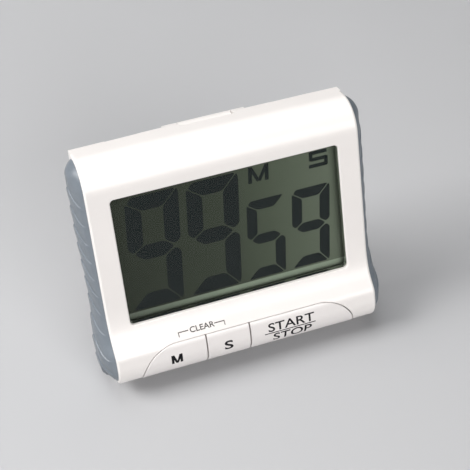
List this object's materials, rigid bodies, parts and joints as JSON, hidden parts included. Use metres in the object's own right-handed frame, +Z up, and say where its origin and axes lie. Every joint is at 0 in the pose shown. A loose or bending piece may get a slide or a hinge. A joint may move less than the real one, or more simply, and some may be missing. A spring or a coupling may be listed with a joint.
{
  "type": "kitchen timer",
  "caption": "Digital kitchen timer with a wide display, a row of push buttons in a moulded lip, soft side grips and a fold-out rear stand.",
  "frame": {"origin": "on the surface it stands on, centred under the overall box, with the stand open", "axes": "+X to the right seen from the front, +Y from the display towards the stand, +Z up"},
  "size_m": [0.0868, 0.0566, 0.068],
  "materials": {
    "white_shell": "satin moulded ABS, warm white",
    "white_key": "satin moulded ABS, warm white, printed lettering",
    "grey_grip": "matt soft-touch moulding, blue grey",
    "clear_lens": "polished clear acrylic",
    "lcd_glass": "polished",
    "lcd_film": "matt olive film",
    "holder_plastic": "moulded",
    "zebra_rubber": "striped conductive rubber",
    "silicone": "translucent silicone",
    "board": "green solder mask",
    "epoxy": "black resin",
    "ceramic": "fired ceramic",
    "capacitor": "tan ceramic",
    "brass": "rolled",
    "steel": "zinc plated",
    "cell_steel": "polished can",
    "magnet_metal": "nickel plated",
    "adhesive": "double-sided tape"
  },
  "bodies": {
    "case": {"front_housing": "white_shell", "rear_cover": "white_shell", "left_grip": "grey_grip", "right_grip": "grey_grip", "display_lens": "clear_lens", "lens_adhesive": "adhesive", "lcd_front_polariser": "lcd_film", "lcd_front_glass": "lcd_glass", "lcd_rear_glass": "lcd_glass", "lcd_reflector": "lcd_film", "lcd_holder": "holder_plastic", "zebra_strip_bottom": "zebra_rubber", "zebra_strip_top": "zebra_rubber", "circuit_board": "board", "chip_epoxy": "epoxy", "crystal_can": "steel", "board_capacitors": "capacitor", "buzzer_disc": "brass", "buzzer_ceramic": "ceramic", "button_cell": "cell_steel", "battery_contact_negative": "steel", "battery_contact_positive": "steel", "stand_pin": "steel", "case_screws": "steel", "board_screws": "steel", "minute_dome": "silicone", "second_dome": "silicone", "start_stop_dome": "silicone"},
    "minute_key": {"minute_button": "white_key"},
    "second_key": {"second_button": "white_key"},
    "start_stop_key": {"start_stop_button": "white_key"},
    "stand_arm": {"stand": "white_shell", "magnet": "magnet_metal"},
    "cell_door": {"battery_door": "white_shell"}
  },
  "joints": [
    {"name": "minute_press", "type": "slide", "parent": "case", "child": "minute_key", "axis": [0, 0.9492, -0.3147], "range_m": [0, 0.0008], "stiffness_N_per_m": 1000, "springref_m": -0.0004, "deforming": ["minute_dome"]},
    {"name": "second_press", "type": "slide", "parent": "case", "child": "second_key", "axis": [0, 0.9492, -0.3147], "range_m": [0, 0.0008], "stiffness_N_per_m": 1000, "springref_m": -0.0004, "deforming": ["second_dome"]},
    {"name": "start_stop_press", "type": "slide", "parent": "case", "child": "start_stop_key", "axis": [0, 0.9492, -0.3147], "range_m": [0, 0.0008], "stiffness_N_per_m": 1000, "springref_m": -0.0004, "deforming": ["start_stop_dome"]},
    {"name": "stand_hinge", "type": "hinge", "parent": "case", "child": "stand_arm", "pos_m": [0, 0.00997, 0.06184], "axis": [-1, 0, 0], "range_deg": [0, 34]},
    {"name": "door_twist", "type": "hinge", "parent": "case", "child": "cell_door", "pos_m": [-0.0255, -0.00038, 0.03188], "axis": [0, 0.9492, -0.3147], "range_deg": [0, 45]}
  ]
}
